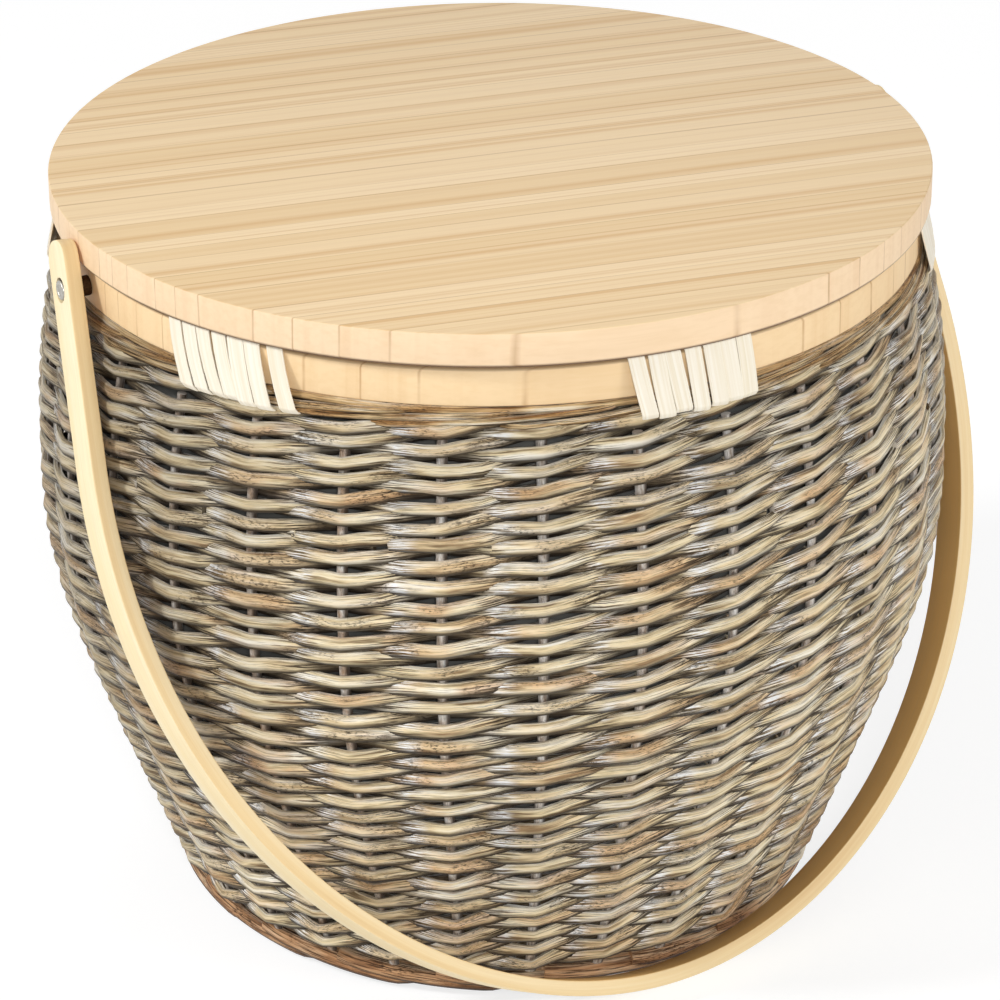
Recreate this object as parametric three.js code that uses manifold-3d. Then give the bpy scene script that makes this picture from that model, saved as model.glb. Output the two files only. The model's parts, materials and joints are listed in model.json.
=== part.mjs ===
// Round willow picnic basket with a loose pine lid, a pine rim and a bent wooden handle.
// Millimetres, +Z up. The origin is on the floor under the middle of the basket, the handle
// turns about the X axis and hangs to the front, which is -Y.

import * as THREE from 'three';
import { mergeVertices } from 'three/addons/utils/BufferGeometryUtils.js';
import Module from 'manifold-3d';

const wasm = await Module();
wasm.setup();

// Clearance that two neighbouring pieces keep
const fit = 0.3;

// Pine lid and rim ring
const lidRadius = 200;
const lidThickness = 16;
const lidOverhang = 4;
const ringHeight = 17.5;
const ringWidth = 22;
const ringBottom = 320;
const discThickness = 9;
const discSideGap = 1.2;
const lidScrewCount = 4;
const lidScrewCircle = 130;
const lidScrewHeadRadius = 4;
const lidScrewHeadHeight = 2.4;
const lidScrewRadius = 2;
const lidScrewBite = 8;

// Outer shape of the woven wall, from the foot over the belly to the mouth
const footRadius = 152;
const bellyRadius = 212;
const bellyHeight = 215;
const mouthRadius = 199;
const footFlare = 20;
const mouthFlare = 14;
const pulls = { foot: 0.52, underBelly: 0.28, overBelly: 0.4, mouth: 0.3 };

// Rods of the weave
const stakeCount = 30;
const stakePhase = 4;
const stakeDiameter = 4.8;
const weaverThickness = 3.9;
const stakeRoom = 0.5;
const sidingSplit = 250;

// Borders, base and liner
const borderHeight = 13.4;
const borderBulge = 1.5;
const borderWidth = 13;
const borderChamfer = 2.4;
const footHeight = 13;
const footWidth = 13;
const footBulge = 2.4;
const footEdge = 3;
const baseLift = 3.5;
const baseThickness = 11;
const baseStickCount = 8;
const baseStickDiameter = 6;
const linerThickness = 1.6;
const linerRoom = 0.8;
const hemHeight = 18;
const hemThickness = 1.2;

// Cane that binds the rim to the top border
const bindingCount = 6;
const caneLoops = 7;
const canePitch = 2.4;
const caneWidth = 6.6;
const caneThickness = 1;

// Bent handle and its pivots
const handleThickness = 7;
const handleWidth = 23;
const earLength = 22;
const spacerLength = 6.6;
const legLength = 82;
const legGap = 0.9;
const kneeFlare = 4;
const bowSide = 167;
const bowBottom = 113;
const footGap = 0.5;
const floorGap = 0.6;
const pivotRadius = 2.5;
const pivotRoom = 0.4;
const pivotHeadRadius = 4.4;
const pivotHeadHeight = 1.2;
const pivotHeadRound = 0.5;
const pivotBite = 18;
const spacerRadius = 4.5;
const washerRadius = 5.2;
const washerThickness = 0.8;
const recessDepth = 2.2;
const recessRoom = 0.5;

// Facets
const roundFacets = 60;
const linerFacets = 30;
const stakeFacets = 6;
const smallFacets = 12;
const bowSteps = 22;
const levelShares = [0, 0.32, 0.58, 0.79, 1];
const earShares = [0.05, 0.25, 0.55, 1];
const gapShares = [0, 0.25, 0.5, 0.75];

// Heights and radii that follow from the sizes above
const ringTop = ringBottom + ringHeight;
const ringOuter = lidRadius - lidOverhang;
const ringInner = ringOuter - ringWidth;
const lidBottom = ringTop + caneThickness + 2 * fit;
const discRadius = ringInner - fit - caneThickness - discSideGap;
const borderTop = ringBottom - fit;
const borderBottom = borderTop - borderHeight;
const sidingTop = borderBottom - caneThickness - 2 * fit;
const sidingBottom = footHeight + fit;
const weaveThickness = stakeDiameter + 2 * weaverThickness;
const floorBottom = baseLift + baseThickness + fit;
const pivotHeight = ringBottom + ringHeight / 2;
const turn = Math.PI * 2;

const colours = {
  pine: { color: 0xe6c896, roughness: 0.6, metalness: 0 },
  bentWood: { color: 0xedd5a5, roughness: 0.55, metalness: 0 },
  willow: { color: 0x8b7f6d, roughness: 0.75, metalness: 0 },
  stake: { color: 0x9a8f80, roughness: 0.75, metalness: 0 },
  brownRod: { color: 0x8f6446, roughness: 0.7, metalness: 0 },
  cane: { color: 0xf1e6cb, roughness: 0.6, metalness: 0 },
  cloth: { color: 0x3b4044, roughness: 0.95, metalness: 0 },
  steel: { color: 0xa9a9a4, roughness: 0.35, metalness: 1 },
};

const basket = new THREE.Group();

function addPiece(name, geometry, look) {
  const mesh = new THREE.Mesh(geometry, new THREE.MeshStandardMaterial(colours[look]));
  mesh.name = name;
  basket.add(mesh);
  return mesh;
}

function bisect(test, low, high) {
  for (let step = 0; step < 50; step++) {
    const middle = (low + high) / 2;
    if (test(middle) > 0) high = middle;
    else low = middle;
  }
  return (low + high) / 2;
}

// Joining and cutting of closed meshes
function solidOf(geometry) {
  const bare = geometry.clone();
  bare.deleteAttribute('normal');
  bare.deleteAttribute('uv');
  const merged = mergeVertices(bare, 1e-4);
  return new wasm.Manifold(new wasm.Mesh({
    numProp: 3,
    vertProperties: new Float32Array(merged.attributes.position.array),
    triVerts: new Uint32Array(merged.index.array),
  }));
}

function geometryOf(solid) {
  const mesh = solid.getMesh();
  const geometry = new THREE.BufferGeometry();
  geometry.setAttribute('position', new THREE.BufferAttribute(new Float32Array(mesh.vertProperties), 3));
  geometry.setIndex(new THREE.BufferAttribute(new Uint32Array(mesh.triVerts), 1));
  return geometry;
}

function cut(geometry, tools) {
  let solid = solidOf(geometry);
  for (const tool of tools) solid = solid.subtract(solidOf(tool));
  return geometryOf(solid);
}

// A closed profile of radius and height pairs, anticlockwise, turned about Z
function turned(profile, facets) {
  const points = profile.map(([radius, height]) => new THREE.Vector2(radius, height));
  const onAxis = points[0].x === 0 && points[points.length - 1].x === 0;
  if (!onAxis) points.push(points[0].clone());
  return new THREE.LatheGeometry(points, facets).rotateX(Math.PI / 2);
}

function drum(radius, bottom, top, facets) {
  return turned([[0, bottom], [radius, bottom], [radius, top], [0, top]], facets);
}

// A skin over rings of points that all have the same count; a closed one joins last to first
function skin(rings, closed) {
  const count = rings[0].length;
  const positions = rings.flat().flatMap((point) => [point.x, point.y, point.z]);
  const index = [];
  const spans = closed ? rings.length : rings.length - 1;
  for (let ring = 0; ring < spans; ring++) {
    const here = ring * count;
    const next = ((ring + 1) % rings.length) * count;
    for (let side = 0; side < count; side++) {
      const other = (side + 1) % count;
      index.push(here + side, here + other, next + side);
      index.push(here + other, next + other, next + side);
    }
  }
  if (!closed) {
    const last = (rings.length - 1) * count;
    for (let side = 1; side < count - 1; side++) {
      index.push(0, side + 1, side);
      index.push(last, last + side, last + side + 1);
    }
  }
  const geometry = new THREE.BufferGeometry();
  geometry.setAttribute('position', new THREE.Float32BufferAttribute(positions, 3));
  geometry.setIndex(index);
  return geometry;
}

// A point at a radius and height, turned from the front towards +X by an angle in radians
function around(radius, angle, height) {
  return new THREE.Vector3(radius * Math.sin(angle), -radius * Math.cos(angle), height);
}

// Outer radius of the woven wall at a height
const belly = new THREE.Vector2(bellyRadius, bellyHeight);
const foot = new THREE.Vector2(footRadius, 0);
const mouth = new THREE.Vector2(mouthRadius, ringBottom);
const footLean = THREE.MathUtils.degToRad(footFlare);
const mouthLean = THREE.MathUtils.degToRad(mouthFlare);
const lowerSpan = belly.y - foot.y;
const upperSpan = mouth.y - belly.y;
const footPull = lowerSpan * pulls.foot;
const mouthPull = upperSpan * pulls.mouth;
const lowerWall = new THREE.CubicBezierCurve(
  foot,
  new THREE.Vector2(foot.x + footPull * Math.tan(footLean), foot.y + footPull),
  new THREE.Vector2(belly.x, belly.y - lowerSpan * pulls.underBelly),
  belly,
);
const upperWall = new THREE.CubicBezierCurve(
  belly,
  new THREE.Vector2(belly.x, belly.y + upperSpan * pulls.overBelly),
  new THREE.Vector2(mouth.x + mouthPull * Math.tan(mouthLean), mouth.y - mouthPull),
  mouth,
);

function wallRadius(height) {
  const curve = height < belly.y ? lowerWall : upperWall;
  const share = bisect((t) => curve.getPoint(t).y - height, 0, 1);
  return curve.getPoint(share).x;
}

// Heights at which the wall, its stakes and the liner bend
const lowerLevels = levelShares.map(
  (share) => THREE.MathUtils.lerp(sidingBottom, sidingSplit - fit / 2, share),
);
const upperLevels = [sidingSplit + fit / 2, sidingTop];

// A band of weave: rods stand out over each stake and cross at the wall's middle between two stakes,
// and the inner face has an open channel for each stake
function siding(levels) {
  const sections = [];
  const halfChannel = stakeDiameter / 2 + stakeRoom;
  const channelDepth = weaverThickness - fit;
  const crossingInset = (stakeDiameter + weaverThickness) / 2;
  const period = turn / stakeCount;
  for (let stake = 0; stake < stakeCount; stake++) {
    const middle = THREE.MathUtils.degToRad(stakePhase) + stake * period;
    const corners = [
      { aside: -period / 2, inset: crossingInset, depth: weaveThickness },
      { aside: -(halfChannel + stakeRoom) / bellyRadius, inset: 0, depth: weaveThickness },
      { aside: -halfChannel / bellyRadius, inset: 0, depth: channelDepth },
      { aside: halfChannel / bellyRadius, inset: 0, depth: channelDepth },
      { aside: (halfChannel + stakeRoom) / bellyRadius, inset: 0, depth: weaveThickness },
    ];
    for (const { aside, inset, depth } of corners) {
      const widen = (radius) => (aside === -period / 2 ? aside : (aside * bellyRadius) / radius);
      const at = (height, below) => {
        const radius = wallRadius(height);
        return around(radius - below, middle + widen(radius), height);
      };
      const inside = levels.map((height) => at(height, depth));
      const outside = levels.map((height) => at(height, inset)).reverse();
      sections.push([...inside, ...outside]);
    }
  }
  return skin(sections, true);
}

addPiece('lower_siding', siding(lowerLevels), 'willow');
addPiece('upper_siding', siding(upperLevels), 'willow');

// Upright stakes: those under a binding stop below the cane, the rest reach the border
const stakeInset = weaverThickness + stakeDiameter / 2;
const bindingStep = 360 / bindingCount;
const bindingReach = (caneLoops / 2) * canePitch + 1;

function stakeGeometry(top) {
  const bends = [...lowerLevels, sidingTop];
  const heights = top > sidingTop ? [...bends, top] : bends;
  const rings = heights.map((height) => {
    const radius = wallRadius(height) - stakeInset;
    return Array.from({ length: stakeFacets }, (_, side) => {
      const angle = (side / stakeFacets) * turn;
      const out = radius + (stakeDiameter / 2) * Math.cos(angle);
      return new THREE.Vector3((stakeDiameter / 2) * Math.sin(angle), -out, height);
    });
  });
  return skin(rings, false);
}

const longStake = stakeGeometry(borderBottom - fit);
const shortStake = stakeGeometry(sidingTop);
for (let stake = 0; stake < stakeCount; stake++) {
  const azimuth = stakePhase + (stake * 360) / stakeCount;
  const toBinding = Math.abs(azimuth - Math.round(azimuth / bindingStep) * bindingStep);
  const geometry = toBinding < bindingReach ? shortStake : longStake;
  const mesh = addPiece(`stake_${String(stake + 1).padStart(2, '0')}`, geometry, 'stake');
  mesh.rotation.z = THREE.MathUtils.degToRad(azimuth);
}

// Foot border, woven base on its crossed sticks, and the top border
const footOuter = footRadius + footBulge;
addPiece('foot_border', turned([
  [footRadius - footWidth + footEdge, 0],
  [footRadius - footEdge, 0],
  [footOuter, footHeight / 2],
  [footOuter, footHeight - footEdge],
  [footRadius + footBulge / 2, footHeight],
  [footRadius - footWidth, footHeight],
  [footRadius - footWidth, footEdge],
], roundFacets), 'brownRod');

const baseRadius = footRadius - footWidth - fit;
const baseMiddle = baseLift + baseThickness / 2;

function baseStar(radius, length) {
  let star = null;
  for (let stick = 0; stick < baseStickCount; stick++) {
    const rod = new THREE.CylinderGeometry(radius, radius, length, stakeFacets);
    rod.rotateZ((stick / baseStickCount) * Math.PI);
    rod.translate(0, 0, baseMiddle);
    star = star ? star.add(solidOf(rod)) : solidOf(rod);
  }
  return star;
}

addPiece('base_cross', geometryOf(baseStar(baseStickDiameter / 2, 2 * (baseRadius - fit))), 'stake');
const baseDisc = drum(baseRadius, baseLift, baseLift + baseThickness, roundFacets);
const baseChannels = baseStar(baseStickDiameter / 2 + fit, 2 * baseRadius + footWidth);
addPiece('base_weave', geometryOf(solidOf(baseDisc).subtract(baseChannels)), 'willow');

const borderMiddle = (borderBottom + borderTop) / 2;
const borderOuter = mouthRadius + borderBulge;
const borderInner = borderOuter - borderWidth;
addPiece('top_border', turned([
  [borderInner + borderChamfer, borderBottom],
  [borderOuter - borderChamfer, borderBottom],
  [borderOuter, borderMiddle],
  [borderOuter - borderChamfer, borderTop],
  [borderInner + borderChamfer, borderTop],
  [borderInner, borderMiddle],
], roundFacets), 'brownRod');

// Cloth liner: floor, wall and the turned hem at the top
const linerFace = (height) => wallRadius(height) - weaveThickness - linerRoom;
const floorTop = floorBottom + linerThickness;
addPiece('liner_floor', drum(linerFace(floorBottom), floorBottom, floorTop, linerFacets), 'cloth');

const linerLevels = [floorTop + fit, ...lowerLevels.slice(1, -1), sidingSplit, sidingTop];
addPiece('liner_wall', turned([
  ...linerLevels.map((height) => [linerFace(height), height]),
  ...linerLevels.map((height) => [linerFace(height) - linerThickness, height]).reverse(),
], linerFacets), 'cloth');

const hemFace = (height) => linerFace(height) - linerThickness - fit;
const hemBottom = sidingTop - hemHeight;
const hemLean = (linerFace(sidingSplit) - linerFace(sidingTop)) / (sidingTop - sidingSplit);
const hemFoot = hemFace(sidingTop) + hemLean * hemHeight;
addPiece('liner_hem', turned([
  [hemFoot, hemBottom],
  [hemFace(sidingTop), sidingTop],
  [hemFace(sidingTop) - hemThickness, sidingTop],
  [hemFoot - hemThickness, hemBottom],
], linerFacets), 'cloth');

// Rim ring with a blind hole for each pivot screw
function alongX(geometry, side) {
  return geometry.rotateY((side * Math.PI) / 2);
}

const ring = turned([
  [ringInner, ringBottom],
  [ringOuter, ringBottom],
  [ringOuter, ringTop],
  [ringInner, ringTop],
], roundFacets);
const sides = [{ word: 'left', side: -1 }, { word: 'right', side: 1 }];
const pilotHoles = sides.map(({ side }) => {
  const hole = drum(pivotRadius + fit, ringOuter - pivotBite - fit, ringOuter + ringWidth, smallFacets);
  return alongX(hole, side).translate(0, 0, pivotHeight);
});
addPiece('rim_ring', cut(ring, pilotHoles), 'pine');

// Cane bindings: a flat strip wound round the rim and the border, climbing along the rim
const hull = [
  [ringInner, ringTop],
  [ringOuter, ringTop],
  [borderOuter, borderMiddle],
  [borderOuter - borderChamfer, borderBottom],
  [borderInner + borderChamfer, borderBottom],
  [ringInner, ringBottom],
].map(([radius, height]) => new THREE.Vector2(radius, height));

function loopStations() {
  const stations = [];
  const offset = fit + caneThickness / 2;
  hull.forEach((corner, at) => {
    const before = hull[(at + hull.length - 1) % hull.length];
    const after = hull[(at + 1) % hull.length];
    for (const edge of [corner.clone().sub(before), after.clone().sub(corner)]) {
      const normal = new THREE.Vector2(-edge.y, edge.x).normalize();
      stations.push({ point: corner.clone().addScaledVector(normal, offset), normal });
    }
  });
  return stations;
}

function caneRings() {
  const stations = loopStations();
  const lengths = stations.map(({ point }, at) => {
    const next = stations[(at + 1) % stations.length];
    return point.distanceTo(next.point);
  });
  const girth = lengths.reduce((sum, length) => sum + length, 0);
  const tuck = ringHeight / 2;
  const first = stations[0];
  const start = { point: first.point.clone().sub(new THREE.Vector2(0, tuck)), normal: first.normal };
  const ringAt = ({ point, normal }, travelled) => {
    const angle = THREE.MathUtils.degToRad((travelled / girth - caneLoops / 2) * canePitch);
    const across = new THREE.Vector3(Math.cos(angle), Math.sin(angle), 0);
    const corner = (half, depth) => {
      const spot = point.clone().addScaledVector(normal, (depth * caneThickness) / 2);
      return around(spot.x, angle, spot.y).addScaledVector(across, (half * caneWidth) / 2);
    };
    return [corner(-1, 1), corner(-1, -1), corner(1, -1), corner(1, 1)];
  };
  const rings = [ringAt(start, 0)];
  let travelled = tuck;
  for (let loop = 0; loop < caneLoops; loop++) {
    stations.forEach((station, at) => {
      rings.push(ringAt(station, travelled));
      travelled += lengths[at];
    });
  }
  rings.push(ringAt(start, caneLoops * girth));
  return rings;
}

function leastSelfGap(rings, stationsPerLoop) {
  const edgePoints = rings.map((ring) => ring.flatMap((corner, side) => {
    const next = ring[(side + 1) % ring.length];
    return gapShares.map((share) => corner.clone().lerp(next, share));
  }));
  let least = Infinity;
  for (let one = 0; one < edgePoints.length; one++) {
    for (let two = one + stationsPerLoop - 2; two < edgePoints.length; two++) {
      for (const point of edgePoints[one]) {
        for (const other of edgePoints[two]) least = Math.min(least, point.distanceTo(other));
      }
    }
  }
  return least;
}

const cane = caneRings();
console.log(`cane binding: least gap to itself ${leastSelfGap(cane, 2 * hull.length).toFixed(2)} mm`);
const caneGeometry = skin(cane, false);
for (let binding = 0; binding < bindingCount; binding++) {
  const mesh = addPiece(`cane_binding_${binding + 1}`, caneGeometry, 'cane');
  mesh.rotation.z = THREE.MathUtils.degToRad(binding * bindingStep);
}

// Loose lid: board, the disc under it that drops inside the rim, and its screws
const discTop = lidBottom - fit;
const discBottom = discTop - discThickness;
const screwSpots = Array.from({ length: lidScrewCount }, (_, screw) => {
  return around(lidScrewCircle, ((screw + 0.5) / lidScrewCount) * turn, 0);
});

function lidScrewProfile(room) {
  const tip = lidBottom + lidScrewBite + room;
  const shank = lidScrewRadius + room;
  const head = lidScrewHeadRadius + room;
  const seat = discBottom + fit;
  const below = discBottom - lidScrewHeadHeight;
  const opening = room > 0 ? [[0, below], [head, below]] : [[0, seat]];
  return [
    ...opening,
    [head, seat],
    [shank, seat + lidScrewHeadHeight],
    [shank, tip],
    [0, tip],
  ];
}

const screwHoles = screwSpots.map((spot) => {
  return turned(lidScrewProfile(fit), smallFacets).translate(spot.x, spot.y, 0);
});
const board = drum(lidRadius, lidBottom, lidBottom + lidThickness, roundFacets);
const disc = drum(discRadius, discBottom, discTop, roundFacets);
addPiece('lid_board', cut(board, screwHoles), 'pine');
addPiece('lid_locating_disc', cut(disc, screwHoles), 'pine');
screwSpots.forEach((spot, screw) => {
  const mesh = addPiece(`lid_screw_${screw + 1}`, turned(lidScrewProfile(0), smallFacets), 'steel');
  mesh.position.set(spot.x, spot.y, 0);
});

// Handle: hangs from the pivots, rests its bow against the foot and just clears the floor
const drop = pivotHeight - floorGap;
const restReach = footOuter + footGap;
const lean = bisect((angle) => {
  const inward = handleWidth / 2 + restReach * Math.cos(angle);
  return (drop - handleThickness * Math.cos(angle)) * Math.sin(angle) - inward;
}, 0, Math.PI / 3);
const reach = (drop - (handleWidth / 2) * Math.sin(lean)) / Math.cos(lean);

const pivotInner = ringOuter + spacerLength;
const kneeBack = -legLength * Math.sin(lean) + (handleWidth / 2) * Math.cos(lean);
const kneeHeight = pivotHeight - legLength * Math.cos(lean) - (handleWidth / 2) * Math.sin(lean);
const kneeInner = Math.sqrt(wallRadius(kneeHeight) ** 2 - kneeBack ** 2) + legGap;
const legSlope = (kneeInner - pivotInner) / legLength;

// Right half of the handle's outer face as distance from the middle and drop from the pivot
function outerHalf() {
  const outerAt = (fall) => new THREE.Vector2(pivotInner + handleThickness + legSlope * fall, fall);
  const along = new THREE.Vector2(legSlope, 1).normalize();
  const onward = new THREE.Vector2(Math.tan(THREE.MathUtils.degToRad(kneeFlare)), 1).normalize();
  const knee = outerAt(legLength);
  const bow = new THREE.CubicBezierCurve(
    knee,
    knee.clone().addScaledVector(onward, bowSide),
    new THREE.Vector2(bowBottom, reach),
    new THREE.Vector2(0, reach),
  );
  const half = handleWidth / 2;
  const stations = earShares.map((share) => {
    const width = 2 * Math.sqrt(half ** 2 - (half - half * share) ** 2);
    return { point: outerAt(half * share - earLength), tangent: along, width };
  });
  stations.push({ point: outerAt(0), tangent: along, width: handleWidth });
  for (let step = 0; step <= bowSteps; step++) {
    const share = step / bowSteps;
    stations.push({ point: bow.getPoint(share), tangent: bow.getTangent(share), width: handleWidth });
  }
  return stations;
}

function handleRings() {
  const right = outerHalf();
  const ringOf = ({ point, tangent, width }, side) => {
    const inward = new THREE.Vector2(-tangent.y, tangent.x);
    const inner = point.clone().addScaledVector(inward, handleThickness);
    const front = -width / 2;
    const back = width / 2;
    const corners = [[inner, front], [inner, back], [point, back], [point, front]];
    return corners.map(([spot, depth]) => new THREE.Vector3(side * spot.x, depth, -spot.y));
  };
  const down = right.map((station) => ringOf(station, 1));
  const up = right.slice(0, -1).reverse().map((station) => ringOf(station, -1));
  return [...down, ...up];
}

// Each pivot hole has a recess for the washer and the screw's head
const boreRadius = pivotRadius + pivotRoom;
const recessFloor = pivotInner + handleThickness - recessDepth;
const pivotHoles = sides.flatMap(({ side }) => {
  const outside = pivotInner + handleThickness + earLength;
  const hole = drum(boreRadius, ringOuter, outside, smallFacets);
  const recess = drum(washerRadius + recessRoom, recessFloor, outside, smallFacets);
  return [alongX(hole, side), alongX(recess, side)];
});
const handle = addPiece('handle', cut(skin(handleRings(), false), pivotHoles), 'bentWood');
handle.position.z = pivotHeight;
handle.rotation.x = -lean;

// Pivot hardware on each side: spacer, washer and screw
const spacerStart = ringOuter + fit;
const spacerEnd = pivotInner - Math.abs(legSlope) * spacerRadius - fit;
const washerStart = recessFloor + fit;
const washerEnd = washerStart + washerThickness;
const headStart = washerEnd + fit;
for (const { word, side } of sides) {
  const spacer = turned([
    [boreRadius, spacerStart],
    [spacerRadius, spacerStart],
    [spacerRadius, spacerEnd],
    [boreRadius, spacerEnd],
  ], smallFacets);
  const washer = turned([
    [boreRadius, washerStart],
    [washerRadius, washerStart],
    [washerRadius, washerEnd],
    [boreRadius, washerEnd],
  ], smallFacets);
  const screw = turned([
    [0, ringOuter - pivotBite],
    [pivotRadius, ringOuter - pivotBite + pivotRadius],
    [pivotRadius, headStart],
    [pivotHeadRadius, headStart],
    [pivotHeadRadius, headStart + pivotHeadHeight - pivotHeadRound],
    [pivotHeadRadius - pivotHeadRound, headStart + pivotHeadHeight],
    [0, headStart + pivotHeadHeight],
  ], smallFacets);
  const pieces = [
    [`pivot_spacer_${word}`, spacer],
    [`pivot_washer_${word}`, washer],
    [`pivot_screw_${word}`, screw],
  ];
  for (const [name, geometry] of pieces) {
    addPiece(name, alongX(geometry, side), 'steel').position.z = pivotHeight;
  }
}

export default basket;
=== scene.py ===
import json
import random
from math import asin, copysign, cos, pi, radians, sin, sqrt, tan

import bpy
import numpy as np
from mathutils import Matrix, Vector


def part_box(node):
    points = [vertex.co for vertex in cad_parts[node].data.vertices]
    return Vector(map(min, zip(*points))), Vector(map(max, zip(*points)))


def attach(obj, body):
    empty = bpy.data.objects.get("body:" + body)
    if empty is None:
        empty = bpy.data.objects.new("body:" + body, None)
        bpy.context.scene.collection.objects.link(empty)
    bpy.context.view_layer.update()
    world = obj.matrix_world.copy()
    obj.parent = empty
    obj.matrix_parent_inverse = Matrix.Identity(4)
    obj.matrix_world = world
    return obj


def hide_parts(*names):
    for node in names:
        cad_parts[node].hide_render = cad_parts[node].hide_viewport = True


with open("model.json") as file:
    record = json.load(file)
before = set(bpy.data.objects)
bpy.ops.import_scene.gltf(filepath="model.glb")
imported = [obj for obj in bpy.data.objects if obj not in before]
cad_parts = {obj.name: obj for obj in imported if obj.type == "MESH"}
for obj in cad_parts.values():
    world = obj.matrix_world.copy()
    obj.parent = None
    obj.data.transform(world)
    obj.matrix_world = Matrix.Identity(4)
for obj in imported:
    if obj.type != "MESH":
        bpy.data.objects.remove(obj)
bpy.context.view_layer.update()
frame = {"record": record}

dice = random.Random(26)
up = Vector((0, 0, 1))
sharpAngle = 35
weldDistance = 1e-6


# Small helpers
def setMode(mode):
    bpy.ops.object.mode_set(mode=mode)


def deselectAll():
    if bpy.context.object and bpy.context.object.mode != "OBJECT":
        setMode("OBJECT")
    bpy.ops.object.select_all(action="DESELECT")


def pick(piece):
    deselectAll()
    piece.select_set(True)
    bpy.context.view_layer.objects.active = piece


def around(radius, azimuth, height):
    # azimuth in radians from the front towards +X
    return Vector((radius * sin(azimuth), -radius * cos(azimuth), height))


def turned(degrees):
    return Matrix.Rotation(radians(degrees), 4, "Z")


def linked(name, data):
    item = bpy.data.objects.new(name, data)
    bpy.context.scene.collection.objects.link(item)
    return item


def newPiece(points, edges, faces):
    # settle gives the piece its name
    mesh = bpy.data.meshes.new("piece")
    mesh.from_pydata([tuple(point) for point in points], edges, faces)
    piece = linked("piece", mesh)
    pick(piece)
    return piece


def layUv(mesh, uvs):
    layer = mesh.uv_layers.new(name="UVMap")
    layer.data.foreach_set("uv", [number for face in uvs for pair in face for number in pair])


def weld():
    bpy.ops.mesh.select_all(action="SELECT")
    bpy.ops.mesh.remove_doubles(threshold=weldDistance)


def smooth(angle):
    bpy.ops.object.shade_smooth_by_angle(angle=radians(angle))


def faceOut(smoothAngle):
    setMode("EDIT")
    bpy.ops.mesh.select_all(action="SELECT")
    bpy.ops.mesh.normals_make_consistent(inside=False)
    setMode("OBJECT")
    smooth(smoothAngle)


def settle(piece, name, finish, body, slotName, *nodes):
    # place goes into the mesh, then the piece joins its body
    pick(piece)
    bpy.ops.object.transform_apply(location=True, rotation=True, scale=True)
    piece.name = name
    piece.data.name = name
    piece.data.materials.clear()
    piece.data.materials.append(finish)
    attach(piece, body)
    if nodes:
        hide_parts(*nodes)
    return piece


def spinSection(section, steps, closed=True):
    # a section of (radius, height) pairs, spun once round Z
    points = [(radius, 0, height) for radius, height in section]
    edges = [(at, (at + 1) % len(section)) for at in range(len(section) - (not closed))]
    piece = newPiece(points, edges, [])
    setMode("EDIT")
    bpy.ops.mesh.select_all(action="SELECT")
    bpy.ops.mesh.spin(steps=steps, angle=2 * pi, center=(0, 0, 0), axis=(0, 0, 1))
    weld()
    faceOut(sharpAngle)
    return piece


def drill(piece, sides, radius, depth, place, height):
    # a round hole along X, with its middle at the given place
    deselectAll()
    bpy.ops.mesh.primitive_cylinder_add(
        vertices=sides, radius=radius, depth=depth, location=(place, 0, height), rotation=(0, pi / 2, 0))
    cutter = bpy.context.object
    pick(piece)
    hole = piece.modifiers.new("hole", "BOOLEAN")
    hole.operation = "DIFFERENCE"
    hole.solver = "EXACT"
    hole.object = cutter
    bpy.ops.object.modifier_apply(modifier=hole.name)
    bpy.data.objects.remove(cutter)
    smooth(sharpAngle)


def roundedSection(corners, radii, steps=3):
    # section with each corner rounded by its own small arc
    rounded = []
    for at, (corner, radius) in enumerate(zip(corners, radii)):
        here = Vector(corner)
        before = (Vector(corners[at - 1]) - here).normalized()
        after = (Vector(corners[(at + 1) % len(corners)]) - here).normalized()
        start = here + before * radius
        end = here + after * radius
        for step in range(steps + 1):
            share = step / steps
            spot = start.lerp(here, share).lerp(here.lerp(end, share), share)
            rounded.append((spot.x, spot.y))
    return rounded


def cubicSpot(controls, share):
    rest = 1 - share
    weights = (rest ** 3, 3 * share * rest ** 2, 3 * share * share * rest, share ** 3)
    spot = Vector((0, 0))
    for weight, control in zip(weights, controls):
        spot += control * weight
    return spot


# Rods are laid station by station into a bundle, which becomes one mesh
def newBundle():
    return {"points": [], "faces": [], "uvs": [], "tones": [], "phases": []}


def skinRings(bundle, first, count, lengths):
    # joins rings of points and caps both ends, with UV in metres along and turns round
    for at in range(len(lengths) - 1):
        here = first + at * count
        there = here + count
        start, end = lengths[at], lengths[at + 1]
        for side in range(count):
            other = (side + 1) % count
            low, high = side / count, (side + 1) / count
            bundle["faces"].append((here + side, here + other, there + other, there + side))
            bundle["uvs"].append([(start, low), (start, high), (end, high), (end, low)])
    last = first + (len(lengths) - 1) * count
    bundle["faces"].append(tuple(first + side for side in reversed(range(count))))
    bundle["faces"].append(tuple(last + side for side in range(count)))
    bundle["uvs"] += [[(lengths[0], 0.0)] * count, [(lengths[-1], 0.0)] * count]


def layRod(bundle, stations, tone, sides=8, startLength=0.0, boxy=1.0, phases=None):
    # a station is (middle, outAxis, sideAxis, halfOut, halfSide), boxy under 1 flattens the section
    first = len(bundle["points"])
    travelled = startLength
    lengths = []
    for at, (middle, outAxis, sideAxis, halfOut, halfSide) in enumerate(stations):
        if at:
            travelled += (middle - stations[at - 1][0]).length
        lengths.append(travelled)
        for side in range(sides):
            turn = 2 * pi * (side + 0.5) / sides
            out = copysign(abs(cos(turn)) ** boxy, cos(turn))
            aside = copysign(abs(sin(turn)) ** boxy, sin(turn))
            bundle["points"].append(middle + outAxis * (halfOut * out) + sideAxis * (halfSide * aside))
        bundle["tones"] += [tone] * sides
        bundle["phases"] += [phases[at] if phases else 0.0] * sides
    skinRings(bundle, first, sides, lengths)


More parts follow.
